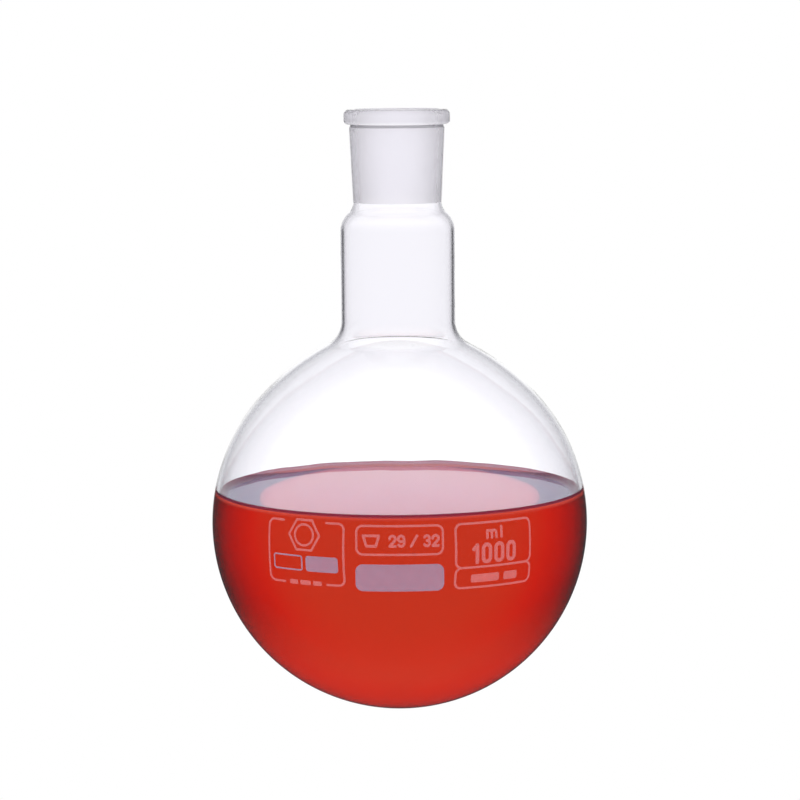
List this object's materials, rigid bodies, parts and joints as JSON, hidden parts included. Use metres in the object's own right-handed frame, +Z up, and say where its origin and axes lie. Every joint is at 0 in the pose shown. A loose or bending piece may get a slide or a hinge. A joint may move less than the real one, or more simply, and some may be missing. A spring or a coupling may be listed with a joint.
{
  "type": "round-bottom flask",
  "caption": "Round-bottom boiling flask with a spherical bulb, a straight neck, a rimmed conical ground socket, fired enamel fields and a coloured liquid filling.",
  "frame": {"origin": "lowest point of the bulb, on the flask's axis", "axes": "+Z up along the flask's axis, the printed fields face -Y, +X to the right of someone who reads them"},
  "size_m": [0.131, 0.1311, 0.209],
  "materials": {
    "clear_glass": "gloss",
    "ground_glass": "matte",
    "red_solution": "gloss",
    "white_enamel": "satin"
  },
  "bodies": {
    "flask": {"flask_body": "clear_glass", "ground_socket": "ground_glass", "mark_frame_left": "white_enamel", "mark_frame_right": "white_enamel", "mark_hexagon": "white_enamel", "mark_ring": "white_enamel", "mark_bars": "white_enamel", "mark_dashes": "white_enamel", "joint_size_frame": "white_enamel", "joint_size_sign": "white_enamel", "joint_size_digits": "white_enamel", "writing_patch": "white_enamel", "capacity_frame": "white_enamel", "capacity_unit": "white_enamel", "capacity_digits": "white_enamel", "grade_frame": "white_enamel", "grade_dashes": "white_enamel"},
    "liquid": {"liquid": "red_solution"}
  },
  "joints": [
    {"name": "liquid_tilt", "type": "hinge", "parent": "flask", "child": "liquid", "pos_m": [0, 0, 0.0655], "axis": [0, 1, 0], "range_deg": [-50, 50]}
  ]
}
